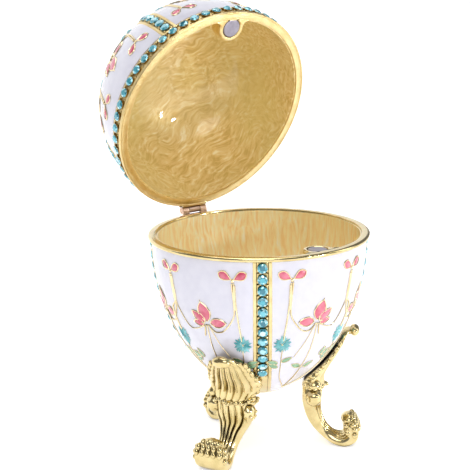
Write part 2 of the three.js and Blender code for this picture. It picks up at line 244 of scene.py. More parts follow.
def plain_ring(half, radius, height):
    """A round ring with the same number of points as the casting's rings."""
    degrees, _ = band_columns(half.at(0.0)[0], PANEL_STEPS)
    turn = np.radians(degrees)
    level = np.full(len(turn), half.up * height)
    return np.stack([radius * np.sin(turn), -radius * np.cos(turn), level], -1)


def casting_shape(half, rim_profile, plain):
    """The casting's closed skin: inside wall, rim profile, outside with bands, and pole. plain is
    the length of bare wall between the rim profile and the bands."""
    rings = []
    for s in np.linspace(half.length * 0.985, 0.0, 30):
        radius, height = half.at(s, INSIDE)
        rings.append(plain_ring(half, max(radius, 0.4), height))
    for radius, height in rim_profile:
        rings.append(plain_ring(half, radius, height))
    starts, ends = half.bands_from, half.bands_to
    outside = [(starts - plain, 0.0), (starts, 0.6), (starts + 0.08, 1.0)]
    channel_end = [half.stones_to - 0.02, half.stones_to + 0.1]
    lengths = np.append(np.linspace(starts + 0.3, ends - 0.4, 56), channel_end)
    outside += [(s, 1.0) for s in np.sort(lengths)]
    outside += [(ends - 0.1, 1.0), (ends, 0.6), (ends + 0.15, 0.0)]
    outside += [(s, 0.0) for s in np.linspace(ends + 0.6, half.length * 0.96, 7)]
    for s, share in outside:
        rings.append(casting_ring(half, s, share))
    count = len(rings[0])
    faces = grid_faces(len(rings), count, closed=True)
    last = (len(rings) - 1) * count
    faces += [(last + i, last + count, last + (i + 1) % count) for i in range(count)]
    faces += [((i + 1) % count, last + count + 1, i) for i in range(count)]
    poles = [half.point(np.zeros(1), np.full(1, half.length), lift) for lift in (0.0, INSIDE)]
    shape = Shape()
    shape.add(np.concatenate(rings + poles), faces)
    return shape


# The lip is a rounded bead over a small cove, with a flat face where the lid closes on it.
LIP_RADIUS = 32.5
CUP_RIM = (
    (30.12, 0.9), (30.14, 0.35), (30.2, 0.12), (30.35, 0.02), (30.7, 0.0), (31.4, 0.0),
    (31.95, 0.02), (32.25, 0.10), (32.42, 0.28), (32.49, 0.55), (32.47, 0.85), (32.35, 1.08),
    (32.1, 1.22), (31.8, 1.28), (31.6, 1.31), (31.5, 1.34),
)
cup_shape = casting_shape(CUP, CUP_RIM, 0.03)

# The boss for the magnet grows out of the wall like a small shield.
MAGNET_RADIUS = 2.8
MAGNET_REACH = 27.4
BOSS_RADIUS = 4.1
BOSS_DEPTH = 4.5


def flared_side(start, control, end):
    """Eight points along a curve from start to end that is drawn towards a control point."""
    return [
        tuple(
            (1 - t) ** 2 * a + 2 * t * (1 - t) * b + t * t * c
            for a, b, c in zip(start, control, end)
        )
        for t in np.arange(1, 9) / 8
    ]


def boss_outline():
    """The shield seen from above: the wall's arc, two flared sides and a round end."""
    wall, spread, flare = LIP_RADIUS - 2.1, math.radians(12), BOSS_RADIUS
    points = []
    for i in range(9):
        turn = -spread + 2 * spread * i / 8
        points.append((wall * math.sin(turn), -wall * math.cos(turn)))
    first, last = points[0], points[-1]
    points += flared_side(last, (flare, -MAGNET_REACH - 1.8), (flare, -MAGNET_REACH))[:8]
    for i in range(1, 25):
        turn = math.pi * i / 24
        points.append((flare * math.cos(turn), -MAGNET_REACH + flare * math.sin(turn)))
    points += flared_side((-flare, -MAGNET_REACH), (-flare, -MAGNET_REACH - 1.8), first)[:7]
    return np.array(points)


def add_boss(shape, up):
    """The boss with rounded edges and the pocket that the magnet sits in."""
    outline = boss_outline()
    middle = np.array([0.0, -MAGNET_REACH])
    out = outline - middle
    reach = np.linalg.norm(out, axis=1, keepdims=True)
    levels = []
    for shrink, depth in ((0, BOSS_DEPTH), (0, 0.45), (0.06, 0.22), (0.2, 0.08), (0.42, 0.02)):
        ring = middle + out * (reach - shrink) / reach
        levels.append(np.c_[ring, np.full(len(ring), up * depth)])
    for radius, depth in ((3.22, 0.02), (3.05, 0.08), (2.92, 0.22), (2.9, 1.2)):
        ring = middle + out / reach * radius
        levels.append(np.c_[ring, np.full(len(ring), up * depth)])
    shape.add(np.concatenate(levels), capped_grid(len(levels), len(outline)))


add_boss(cup_shape, -1)


def add_seat(shape, up):
    """The flat pad behind the rim that a hinge leaf is fixed to, with rounded lower corners."""
    half_width, depth, corner = 4.3, 6.15, 1.4
    outline = [(-half_width, 0.12), (half_width, 0.12)]
    for side in (1, -1):
        for turn in np.linspace(0, math.pi / 2, 7):
            swing = turn if side == 1 else math.pi / 2 - turn
            outline.append((
                side * (half_width - corner + corner * math.cos(swing)),
                depth - corner + corner * math.sin(swing),
            ))
    outline = np.array(outline)
    middle = np.array([0, depth / 2])
    levels = []
    for behind, shrink in ((30.4, 0), (32.6, 0), (32.74, 0.05), (32.8, 0.18)):
        ring = middle + (outline - middle) * (1 - shrink / half_width)
        levels.append(np.stack([ring[:, 0], np.full(len(ring), behind), up * ring[:, 1]], -1))
    shape.add(np.concatenate(levels), capped_grid(len(levels), len(outline)))


add_seat(cup_shape, -1)


class Finish:
    """One material, made up from small steps that end in its shader."""

    def __init__(self, name, inputs):
        self.material = bpy.data.materials.new(name)
        self.material.use_nodes = True
        self.tree = self.material.node_tree
        self.shader = self.fill(self.tree.nodes["Principled BSDF"], inputs)
        self.place = self.add("TexCoord", {}).outputs["Object"]

    def fill(self, node, inputs):
        """Sets each named input, or joins it to the output that is given for it."""
        for socket, value in inputs.items():
            if isinstance(value, bpy.types.NodeSocket):
                self.tree.links.new(value, node.inputs[socket])
            else:
                node.inputs[socket].default_value = value
        return node

    def add(self, kind, inputs, **settings):
        node = self.tree.nodes.new("ShaderNode" + kind)
        for setting, value in settings.items():
            setattr(node, setting, value)
        return self.fill(node, inputs)

    def noise(self, scale, detail, at=None, roughness=0.5, output="Fac"):
        return self.add("TexNoise", {
            "Scale": scale, "Detail": detail, "Roughness": roughness, "Vector": at or self.place,
        }).outputs[output]

    def spread(self, value, low, high, start=0.0, end=1.0):
        """A value from start to end, spread out from low to high."""
        return self.add("MapRange", {
            "Value": value, "From Min": start, "From Max": end, "To Min": low, "To Max": high,
        }).outputs["Result"]

    def ramp(self, value, *stops):
        """Colours along a value; the stops are (position, colour) in order."""
        node = self.add("ValToRGB", {"Fac": value})
        elements = node.color_ramp.elements
        elements[0].position, elements[1].position = stops[0][0], stops[-1][0]
        for position, _ in stops[1:-1]:
            elements.new(position)
        for element, (_, colour) in zip(elements, stops):
            element.color = (*colour, 1)
        return node.outputs["Color"]

    def mix(self, share, a, b):
        return self.add("Mix", {"Factor": share, "A": a, "B": b}, data_type="RGBA").outputs["Result"]

    def relief(self, value, strength, depth):
        bump = self.add("Bump", {"Strength": strength, "Distance": depth, "Height": value})
        return bump.outputs["Normal"]


def gold_material(name, colour, dark, crease_shade, rough, grain, dimple):
    """Plated gold with faint colour clouds, painted shade that darkens its hollows and creases by ambient
    occlusion, and casting grain.
    """
    gold = Finish(name, {"Metallic": 1.0, "Coat Weight": 0.1, "Coat Roughness": 0.05})
    clouds = gold.noise(260.0, 5.0)
    tint = gold.ramp(clouds, (0.3, dark), (0.62, colour))
    # Ambient occlusion mixes a dark colour into the gold in its creases and hollows: painted shade.
    occlusion = gold.add("AmbientOcclusion", {"Distance": 0.0016}, samples=8).outputs["AO"]
    unshaded_share = gold.spread(occlusion, 0.0, 1.0, 0.3, 0.82)
    gold.fill(gold.shader, {
        "Base Color": gold.mix(unshaded_share, (*crease_shade, 1), tint),
        "Roughness": gold.spread(clouds, rough * 0.75, rough * 1.3),
        "Normal": gold.relief(gold.noise(grain, 3.0), dimple, 0.0002),
    })
    return gold.material


# The third colour here and the soft one below are painted shade for creases and hollows.
YELLOW_GOLD, DEEP_GOLD, DARK_CREASE_SHADE = (0.80, 0.66, 0.35), (0.64, 0.51, 0.23), (0.16, 0.12, 0.05)
SOFT_CREASE_SHADE = (0.50, 0.37, 0.15)
polished_gold = gold_material("polished_gold", YELLOW_GOLD, DEEP_GOLD, SOFT_CREASE_SHADE, 0.16, 900, 0.12)
cup_shape.piece("cup_casting", CUP, [polished_gold], "gold", "cup")

# ---- The pearl enamel inside the cup ----
# A thin lining of translucent cream enamel over brushed metal, fired on in upright streaks.


def lining_shape(half):
    """A thin bowl that lies on the inside wall, from just under the rim to the pole."""
    rings = []
    steps = np.linspace(0.0, half.length * 0.985, 44)
    turn = np.radians(np.arange(0, 360, 3.0))
    for offset, order in ((-WALL - 0.38, steps[::-1]), (-WALL, steps)):
        for s in order:
            radius, height = half.at(s, offset)
            height = 0.55 if s == 0 else height
            ring = [radius * np.sin(turn), -radius * np.cos(turn), np.full(len(turn), half.up * height)]
            rings.append(np.stack(ring, -1))
    shape = Shape()
    shape.add(np.concatenate(rings), capped_grid(len(rings), len(turn)))
    return shape


def pearl_material(name, tones, patch, streak, lean, swirl):
    """Pearl enamel: short pale strokes swirled through two golden tones under a clear gloss.
    tones are deep, middle, light and glint; patch is the tone that pools in wide clouds."""
    pearl = Finish(name, {
        "Metallic": 0.1, "Specular IOR Level": 0.25, "Coat Weight": 0.7, "Coat Roughness": 0.04,
    })
    eddies = pearl.noise(75.0, 2.0, output="Color")
    push = pearl.add("VectorMath", {0: eddies, 1: (swirl,) * 3, 2: pearl.place}, operation="MULTIPLY_ADD")
    turned = pearl.add("Mapping", {"Vector": push.outputs["Vector"], "Rotation": lean})
    stretch = pearl.add("Mapping", {"Vector": turned.outputs["Vector"], "Scale": streak})
    brush = pearl.noise(1.0, 5.0, stretch.outputs["Vector"], 0.55)
    tint = pearl.ramp(brush, (0.36, tones[0]), (0.47, tones[1]), (0.58, tones[2]), (0.70, tones[3]))
    pool = pearl.spread(pearl.noise(32.0, 3.0), 0.0, 0.6, 0.42, 0.66)
    pearl.fill(pearl.shader, {
        "Base Color": pearl.mix(pool, tint, (*patch, 1)),
        "Roughness": pearl.spread(brush, 0.5, 0.25),
        "Normal": pearl.relief(brush, 0.10, 0.0002),
    })
    return pearl.material


# The same enamel gets paler, brighter tones here than in the lid: painted light that makes up for the dim
# inside of the cup.
lit_cup_pearl = pearl_material(
    "cup_pearl_enamel",
    ((0.96, 0.69, 0.32), (1.0, 0.81, 0.43), (1.0, 0.90, 0.56), (1.0, 0.98, 0.84)),
    (1.0, 0.87, 0.46), (1250.0, 1250.0, 130.0), (0, 0, 0), 0.004,
)
lining_shape(CUP).piece("cup_pearl_lining", CUP, [lit_cup_pearl], "pearl_enamel", "cup_lining")

# ---- The painted enamel panels of the cup ----
# White glass enamel fills the sunk fields. Raised gold wires draw the stems and flowers on it, and
# their petals and leaves are filled with pink, turquoise and green enamel.
ENAMEL_LIFT = -0.02
PLATE_ROWS, PLATE_COLUMNS = 60, 33


def panel_plate(half, quarter, shape):
    """The white ground of one panel: a thin plate that fills its field."""
    centre = BAND_ANGLES[quarter] + 45
    lengths = np.linspace(half.bands_from + 0.02, half.bands_to - 0.02, PLATE_ROWS)
    rings = []
    for lift in (ENAMEL_LIFT, -PANEL_DEPTH + 0.05):
        for s in lengths:
            edge = 45 - band_degrees(2.66, half.at(s)[0])
            degrees = centre + np.linspace(-edge, edge, PLATE_COLUMNS)
            drop = np.where(np.abs(np.linspace(-1, 1, PLATE_COLUMNS)) > 0.99, 0.08, 0.0)
            level = lift - (drop if lift > -0.3 else 0)
            rings.append(half.point(degrees, np.full(PLATE_COLUMNS, s), level))
    for face in (rings[:PLATE_ROWS], rings[PLATE_ROWS:]):
        shape.add(np.concatenate(face), grid_faces(PLATE_ROWS, PLATE_COLUMNS))
    total = PLATE_ROWS * PLATE_COLUMNS
    last = PLATE_COLUMNS - 1
    rim = list(range(0, total, PLATE_COLUMNS)) + list(range(total - last, total))
    rim += list(range(total - 1 - PLATE_COLUMNS, 0, -PLATE_COLUMNS)) + list(range(last - 1, 0, -1))
    start = shape.count - 2 * total
    for i, a in enumerate(rim):
        b = rim[(i + 1) % len(rim)]
        shape.faces.append((start + a, start + b, start + total + b, start + total + a))
        shape.slots.append(0)


class Drawing:
    """Places a drawing on one panel; a spot is (degrees from the panel's middle, length). Every
    second panel is drawn the other way round."""

    def __init__(self, shape, half, quarter):
        self.shape, self.half = shape, half
        self.centre = BAND_ANGLES[quarter] + 45
        self.mirror = -1 if quarter % 2 else 1

    def on(self, degrees, s, lift):
        return self.half.point(self.centre + self.mirror * np.asarray(degrees), s, lift)

    def near(self, spot, across, down):
        """A spot some millimetres across and down from another."""
        radius = self.half.at(spot[1])[0]
        return (spot[0] + np.degrees(across / radius), spot[1] + down)


def smooth_line(spots, count):
    """A smooth curve through a few spots (Catmull-Rom), as count spots."""
    spots = np.array([spots[0], *spots, spots[-1]], float)
    result = []
    for t in np.linspace(0, len(spots) - 3 - 1e-9, count):
        i, f = int(t), t - int(t)
        a, b, c, d = spots[i:i + 4]
        result.append(0.5 * (2 * b + (c - a) * f + (2 * a - 5 * b + 4 * c - d) * f * f
                             + (3 * b - 3 * c + d - a) * f ** 3))
    return np.array(result)


def add_wire(shape, points, radius, slot, sides=6, closed=False, taper=0.0):
    """A wire of the given radius along points, with its ends closed."""
    points = np.asarray(points, float)
    count = len(points)
    if closed:
        along = np.roll(points, -1, 0) - np.roll(points, 1, 0)
    else:
        along = np.gradient(points, axis=0)
    along /= np.linalg.norm(along, axis=1, keepdims=True) + 1e-12
    out = points / (np.linalg.norm(points, axis=1, keepdims=True) + 1e-12)
    side = np.cross(along, out)
    side /= np.linalg.norm(side, axis=1, keepdims=True) + 1e-12
    out = np.cross(side, along)
    share = np.ones(count)
    if taper:
        share = 1 - taper * np.linspace(0, 1, count) ** 2
    turn = np.linspace(0, 2 * math.pi, sides, endpoint=False)
    rings = (
        points[:, None]
        + side[:, None] * (radius * share[:, None] * np.cos(turn))[:, :, None]
        + out[:, None] * (radius * share[:, None] * np.sin(turn))[:, :, None]
    )
    if closed:
        last = (count - 1) * sides
        faces = grid_faces(count, sides, closed=True)
        faces += [(last + j, j, (j + 1) % sides, last + (j + 1) % sides) for j in range(sides)]
    else:
        faces = capped_grid(count, sides)
    shape.add(rings, faces, slot)


# The numbers of the enamels' slots; the white ground is 0.
GOLD, PINK, AQUA, GREEN = 1, 2, 3, 4


def add_petal(drawing, foot, angle, length, width, slot, wire=0.08, tip=0.6, dome=0.25, belly=0.0):
    """One petal or leaf from its foot: a domed fill inside a gold wire. Angle 0 points to the
    rim, and positive angles lean away from the band the drawing starts at."""
    turn = math.radians(angle)
    steps = 13
    t = np.linspace(0, 1, steps)
    widest = belly or 0.5 + tip / 2
    half_width = width / 2 * np.maximum(np.sin(math.pi * t ** widest), 0) ** (0.62 + 0.3 * tip)
    half_width[0] = half_width[-1] = 0
    left, right = [], []
    across = np.array([math.cos(turn), math.sin(turn)])
    up = np.array([math.sin(turn), -math.cos(turn)])
    rows = []
    for i in range(steps):
        row = []
        for v in np.linspace(-1, 1, 7):
            spot = drawing.near(foot, *(up * length * t[i] + across * half_width[i] * v))
            swell = dome * (1 - v * v) * math.sin(math.pi * min(max(t[i], 0.05), 0.95))
            row.append(drawing.on(*spot, ENAMEL_LIFT + 0.06 + swell))
            if abs(v) == 1:
                (left if v < 0 else right).append(spot)
        rows.append(row)
    drawing.shape.add(np.array(rows), grid_faces(steps, 7), slot)
    if wire:
        ring = np.array(left + right[-2:0:-1])
        line = drawing.on(ring[:, 0], ring[:, 1], ENAMEL_LIFT + 0.12)
        add_wire(drawing.shape, line, wire, GOLD, closed=True)


def add_stem(drawing, radius, *spots, count=40, taper=0.0):
    line = smooth_line(spots, count)
    line = drawing.on(line[:, 0], line[:, 1], ENAMEL_LIFT + 0.10)
    add_wire(drawing.shape, line, radius, GOLD, taper=taper)


def add_bud_pair(drawing, spot):
    """Two pink buds that lean apart over a little gold calyx."""
    near = drawing.near
    for angle in (-63, 63):
        side = math.copysign(0.35, angle)
        add_petal(drawing, near(spot, side, 0.1), angle, 4.1, 2.4, PINK, 0.18, 0.3, 0.35, 1.45)
    add_petal(drawing, near(spot, 0, 1.1), 0, 1.3, 0.9, GOLD, 0.0, 0.3, 0.3)


def add_three_petals(drawing, spot):
    """A pink flower: a tall back petal with a drawn-out tip and one petal on either side."""
    near = drawing.near
    for across, down, angle, length, width, tip, dome, belly in (
        (-0.2, -0.6, 12, 6.2, 3.9, 0.8, 0.3, 0.0), (0.7, -0.2, 50, 5.0, 2.9, 0.5, 0.4, 0.0),
        (1.1, 0.4, 84, 3.6, 2.2, 0.5, 0.3, 0.0), (-1.1, -0.2, -86, 4.9, 3.0, 0.4, 0.3, 0.9),
    ):
        add_petal(drawing, near(spot, across, down), angle, length, width, PINK, 0.18, tip, dome, belly)
    point = near(spot, 6.2 * math.sin(math.radians(12)) - 0.2, -6.5)
    add_stem(drawing, 0.14, point, near(point, 0.3, -0.8), count=6, taper=0.7)
    for side in (-1, 1):
        add_stem(
            drawing, 0.2, near(spot, 0.9 * side, 0.9), near(spot, 0.25 * side, 0.9),
            near(spot, -0.6 * side, 0.6), count=10,
        )


def add_aster(drawing, spot, seed):
    """A turquoise flower of many narrow enamel rays."""
    near = drawing.near
    rng = np.random.default_rng(seed)
    for i in range(34):
        angle = -172 + 344 * i / 33 + rng.uniform(-6, 6)
        length = rng.uniform(1.9, 2.5) * (1 + 0.35 * abs(math.cos(math.radians(angle))))
        foot = near(spot, rng.uniform(-0.3, 0.3), rng.uniform(-0.4, 0.4))
        add_petal(drawing, foot, angle, length, 0.62, AQUA, 0.0, 0.4, rng.uniform(0.15, 0.5), 1.2)
    for i in range(14):
        angle = -160 + 24 * i + rng.uniform(-8, 8)
        turn = math.radians(angle)
        outer = near(spot, 2.1 * math.sin(turn), -2.8 * math.cos(turn))
        add_stem(drawing, 0.08, spot, outer, count=6, taper=0.4)


def cup_drawing(drawing):
    """The whole drawing of one cup panel. It starts beside a band and repeats across."""
    near = drawing.near
    foot = (-17.0, 48.0)
    flowers = ((-12.2, 18.9), (27.0, 18.9))
    sprigs = (((-29.6, 4.4), (-32.6, 25.8)), ((10.2, 4.4), (13.2, 25.8)))
    for index, (bud, aster) in enumerate(sprigs):
        add_bud_pair(drawing, bud)
        top = near(bud, 0, 1.2)
        split = near(bud, -0.4, 8.6)
        add_stem(
            drawing, 0.25, near(top, -0.28, 0), near(split, -0.25, 0), near(aster, 0.6, -9),
            near(aster, 0.1, -1.6),
        )
        flower = flowers[index]
        add_stem(
            drawing, 0.23, near(top, 0.28, 0), near(split, 0.3, 0), near(split, 0.9, 3.6),
            near(flower, -5.2, 1.9), near(flower, -2.4, 2.8), near(flower, -0.6, 1.2),
        )
        add_stem(drawing, 0.42, near(split, 0.0, -6.8), near(split, 0.0, 0.6), count=12)
        add_aster(drawing, aster, 7 + index)
        add_stem(
            drawing, 0.14, near(aster, 0.2, 1.2), (aster[0] + 1.0, 33.0), (aster[0] * 0.75 - 4.2, 41.0),
            foot,
        )
        for across, down, angle in ((-0.6, 7.6, -68), (0.5, 7.0, 62), (-0.4, 9.5, -55)):
            add_petal(drawing, near(aster, across, down), angle, 3.4, 1.7, GREEN)
    for index, flower in enumerate(flowers):
        add_three_petals(drawing, flower)
        if index:
            continue
        add_stem(
            drawing, 0.16, near(flower, 0.7, 1.0), (flower[0] + 13.4, 21.6), (8.2, 15.6), (9.2, 12.4),
        )
        add_stem(drawing, 0.15, near(flower, 0.2, 1.0), (-11.3, 30.0), (-13.4, 39.0), foot)
        add_stem(drawing, 0.11, near(flower, -0.5, 1.2), (-17.5, 26.0), (-22.5, 31.0))
        add_stem(drawing, 0.22, near(flower, 0.9, 1.4), near(flower, 1.8, 4.6), count=10)
        leaves = ((-14.0, 36.2, -60), (-10.5, 36.6, 60), (1.5, 33.0, 20), (4.5, 33.2, 60))
        for degrees, s, angle in leaves:
            add_petal(drawing, (degrees, s), angle, 3.6, 1.8, GREEN)
    add_stem(drawing, 0.13, near(flowers[1], 0.2, 1.0), (24.0, 30.0), (8.0, 41.0), foot)


def enamel_material(name, colour, shade, rough):
    """Fired glass enamel: a smooth wet gloss over colour that drifts a little with its depth."""
    enamel = Finish(name, {"Roughness": rough, "Coat Weight": 0.8, "Coat Roughness": 0.03})
    enamel.fill(enamel.shader, {
        "Base Color": enamel.ramp(enamel.noise(340.0, 4.0), (0.35, shade), (0.65, colour)),
        "Normal": enamel.relief(enamel.noise(120.0, 2.0), 0.12, 0.0004),
    })
    return enamel.material


white_enamel = enamel_material("white_enamel", (0.74, 0.73, 0.82), (0.70, 0.69, 0.79), 0.25)
# Its third colour is painted shade for the wires' creases.
wire_gold = gold_material(
    "wire_gold", (0.92, 0.79, 0.50), (0.76, 0.62, 0.36), (0.6, 0.48, 0.27), 0.25, 1500, 0.1
)
pink_enamel = enamel_material("pink_enamel", (0.80, 0.20, 0.29), (0.62, 0.07, 0.14), 0.2)
aqua_enamel = enamel_material("turquoise_enamel", (0.30, 0.68, 0.70), (0.05, 0.34, 0.38), 0.2)
green_enamel = enamel_material("green_enamel", (0.26, 0.46, 0.27), (0.12, 0.28, 0.14), 0.25)
panel_enamels = [white_enamel, wire_gold, pink_enamel, aqua_enamel, green_enamel]


def fit_panels(half, draw):
    """Fires the four panels of one half into their fields."""
    for quarter in range(4):
        panel = Shape()
        panel_plate(half, quarter, panel)
        draw(Drawing(panel, half, quarter))
        panel.piece(
            f"{half.name}_enamel_panel_{quarter + 1}", half, panel_enamels, "white_enamel",
            f"{half.name}_enamel_{quarter + 1}",
        )


fit_panels(CUP, cup_drawing)

# ---- The stones in the cup's bands ----
# Round brilliant-cut glass stones, twelve to a band, each held by small gold beads raised from
# the channel's edges.
STONES_PER_BAND = 12
STONE_RADIUS, STONE_LIFT, BEAD_RADIUS = 1.45, 0.12, 0.42
FACET_CREASE = 5.0


def ring_points(radius, height, count, shift=0.0):
    """Points evenly round z, turned on by a share of their spacing."""
    turns = [2 * math.pi * (i + shift) / count for i in range(count)]
    return [(radius * math.cos(turn), radius * math.sin(turn), height) for turn in turns]


def brilliant(radius):
    """The facets of one round brilliant cut, its girdle at z = 0: points and faces."""
    table = ring_points(0.56 * radius, 0.32 * radius, 8, 0.5)
    star = ring_points(0.79 * radius, 0.2 * radius, 8)
    girdle = ring_points(radius, 0.03 * radius, 16)
    under = ring_points(radius, -0.03 * radius, 16)
    points = table + star + girdle + under + [(0, 0, -0.8 * radius)]
    faces = [tuple(range(8))]
    for i in range(8):
        before = (i - 1) % 8
        faces.append((i, before, 8 + i))
        g = 16 + 2 * i
        after = 16 + (2 * i + 1) % 16
        behind = 16 + (2 * i - 1) % 16
        faces.append((8 + i, behind, g))
        faces.append((8 + i, g, after))
        faces.append((i, 8 + i, after, 8 + (i + 1) % 8))
    for i in range(16):
        j = (i + 1) % 16
        faces.append((16 + i, 32 + i, 32 + j, 16 + j))
        faces.append((32 + i, 48, 32 + j))
    return np.array(points), faces


def upright(at, outward, along, points):
    """Points drawn round z, set at a place with z along outward and y along the band."""
    outward = outward / np.linalg.norm(outward)
    side = np.cross(along, outward)
    side /= np.linalg.norm(side)
    return at + points @ np.array([side, np.cross(outward, side), outward])


def surface_axes(half, degrees, s, lift):
    """A place on the egg with its outward direction and the direction towards the pole."""
    here = half.point(np.array([degrees]), np.array([s]), lift)[0]
    above = half.point(np.array([degrees]), np.array([s]), lift + 1.0)[0]
    ahead = half.point(np.array([degrees]), np.array([s + 0.1]), lift)[0]
    return here, above - here, (ahead - here) * 10


def bead(radius, squash):
    """A small rounded gold bead: points and faces."""
    rows, columns = 5, 8
    points = [(0, 0, radius * squash)]
    for i in range(1, rows):
        fall = math.pi / 2 * i / (rows - 1)
        points += ring_points(radius * math.sin(fall), radius * squash * math.cos(fall), columns)
    faces = [(0, 1 + j, 1 + (j + 1) % columns) for j in range(columns)]
    faces += grid_faces(rows - 1, columns, 1, closed=True)
    return np.array(points), faces


def band_stones(half, quarter):
    """The stones of one band and the beads that hold them."""
    stones, beads = Shape(), Shape()
    first = half.stones_from
    pitch = (half.stones_to - first) / STONES_PER_BAND
    stone_points, stone_faces = brilliant(STONE_RADIUS)
    bead_points, bead_faces = bead(BEAD_RADIUS, 1.0)
    rng = np.random.default_rng(20 + quarter)
    for i in range(STONES_PER_BAND):
        s = first + (i + 0.5) * pitch
        size = min(1.0, 0.49 * pitch / STONE_RADIUS)
        at, outward, along = surface_axes(half, BAND_ANGLES[quarter], s, STONE_LIFT)
        turn = Matrix.Rotation(rng.uniform(0, 0.8), 3, "Z")
        tilt = outward + 0.05 * rng.normal(size=3)
        spun = stone_points @ np.array(turn).T * np.array([size, size, 1])
        stones.add(upright(at, tilt, along, spun), stone_faces)
    for i in range(STONES_PER_BAND + 1):
        s = first + i * pitch
        for side in (-1, 1):
            degrees = BAND_ANGLES[quarter] + side * band_degrees(1.22, half.at(s)[0])
            at, outward, along = surface_axes(half, degrees, s, -0.14)
            beads.add(upright(at, outward, along, bead_points), bead_faces)
    return stones, beads


def stone_material(name, colour, shade, pale):
    """Aqua cut glass. Each facet gets a dark, middle or pale tone from its normal: painted shade and
    painted glints in place of a cut stone's flashes.
    """
    glass = Finish(name, {
        "Roughness": 0.04, "IOR": 1.62, "Metallic": 0.35, "Coat Weight": 1.0, "Coat Roughness": 0.02,
    })
    facet = glass.add("NewGeometry", {}).outputs["True Normal"]
    spread = glass.add("VectorMath", {}, operation="SCALE")
    glass.fill(spread, {"Scale": 9.0, 0: facet})
    tone = glass.noise(1.0, 1.0, spread.outputs["Vector"])
    # The darkest stop is painted shade in the facets and the palest is a painted glint.
    tint = glass.ramp(tone, (0.36, shade), (0.52, colour), (0.66, pale))
    glass.fill(glass.shader, {"Base Color": tint})
    return glass.material


aqua_glass = stone_material("aqua_glass", (0.09, 0.50, 0.62), (0.01, 0.14, 0.20), (0.66, 0.95, 0.97))


def set_bands(half):
    """Sets the stones in the four bands of one half."""
    for quarter in range(4):
        stones, beads = band_stones(half, quarter)
        stones.piece(
            f"{half.name}_band_stones_{quarter + 1}", half, [aqua_glass], "aqua_stone",
            f"{half.name}_stones_{quarter + 1}", crease=FACET_CREASE,
        )
        beads.piece(f"{half.name}_band_beads_{quarter + 1}", half, [polished_gold], "gold")


set_bands(CUP)

# ---- The cup's magnet ----
# A plated disc pressed into the boss, just under its face.
MAGNET_SIDES = 48


def magnet_shape(up):
    levels = []
    turn = np.linspace(0, 2 * math.pi, MAGNET_SIDES, endpoint=False)
    for radius, depth in (
        (MAGNET_RADIUS, 2.0), (MAGNET_RADIUS, 0.3), (2.74, 0.14), (2.6, 0.06), (2.3, 0.05), (1.2, 0.06),
    ):
        x, y = radius * np.cos(turn), -MAGNET_REACH + radius * np.sin(turn)
        levels.append(np.stack([x, y, np.full(MAGNET_SIDES, up * depth)], -1))
    shape = Shape()
    shape.add(np.concatenate(levels), capped_grid(len(levels), MAGNET_SIDES))
    return shape


def steel_material():
    """Nickel plate with a lilac cast, scuffed by closing."""
    steel = Finish("nickel_plate", {"Metallic": 1.0})
    scuffs = steel.noise(700.0, 6.0)
    steel.fill(steel.shader, {
        "Base Color": steel.ramp(scuffs, (0.0, (0.20, 0.18, 0.22)), (1.0, (0.44, 0.41, 0.47))),
        "Roughness": steel.spread(scuffs, 0.2, 0.5),
    })
    return steel.material


nickel = steel_material()
magnet_shape(-1).piece("cup_magnet_disc", CUP, [nickel], "magnet_steel", "cup_magnet")

# ---- The three feet ----
# Cast gold feet: a rolled scroll and a fluted shell lie on the egg, a knobbly collar gathers them,
# and a second shell narrows to an ankle that curls up into a toe covered with beads.
FOOT_ANGLES = {"foot_left": -67, "foot_right": 53, "foot_back": 173}
# Distance from the axis, height from the rim plane, half width, depth to the front and back,
# depth of the flutes, and how far the foot leans to one side there.
FOOT_SECTIONS = np.array((
    (28.0, -32.0, 1.9, 0.6, 0.6, 0, 3.7), (26.8, -31.7, 2.1, 0.7, 0.7, 0, 3.7),
    (25.5, -32.3, 3.0, 0.8, 0.8, 0.1, 3.5), (24.4, -33.8, 5.0, 0.9, 0.8, 0.4, 3.2),
    (23.2, -35.5, 5.9, 1.1, 1.0, 0.6, 2.8), (21.5, -37.8, 6.7, 1.3, 1.3, 0.75, 2.2),
    (19.3, -40.4, 7.7, 1.6, 1.5, 0.9, 1.6), (17.3, -42.7, 8.3, 2.4, 2.0, 0.9, 0.8),
    (16.0, -44.9, 7.4, 3.6, 3.0, 0.6, 0.1), (15.4, -46.5, 6.0, 3.4, 3.0, 0, -0.3),
    (15.2, -48.6, 6.3, 3.4, 2.9, 0.8, -0.4), (15.1, -51.4, 6.2, 3.2, 2.8, 1.1, -0.3),
    (15.3, -54.2, 5.0, 2.9, 2.4, 1.2, -0.1), (16.1, -56.9, 3.8, 2.5, 2.1, 1.1, -0.5),
    (17.6, -59.6, 3.1, 2.1, 1.8, 0.8, -0.7), (19.7, -62.1, 3.1, 1.9, 1.5, 0.5, -0.7),
    (22.2, -63.7, 3.9, 1.8, 1.5, 0.3, -0.7), (24.9, -64.1, 4.6, 2.0, 1.7, 0.2, -0.7),
    (27.0, -62.9, 4.9, 2.6, 2.0, 0.1, -0.7), (27.6, -60.7, 4.9, 2.9, 1.8, 0.1, -0.7),
    (27.1, -58.8, 4.5, 2.7, 1.6, 0.1, -0.7), (26.7, -57.3, 3.0, 1.7, 1.0, 0, -0.7),
))
UPPER_RIBS, LOWER_RIBS, COLLAR_STATION = 7, 6, 9.0
FOOT_STEPS = 240
FOOT_SOLE = -65.45
foot_line = smooth_line(FOOT_SECTIONS, FOOT_STEPS)
foot_ahead = np.gradient(foot_line[:, :2], axis=0)
foot_ahead /= np.linalg.norm(foot_ahead, axis=1, keepdims=True)


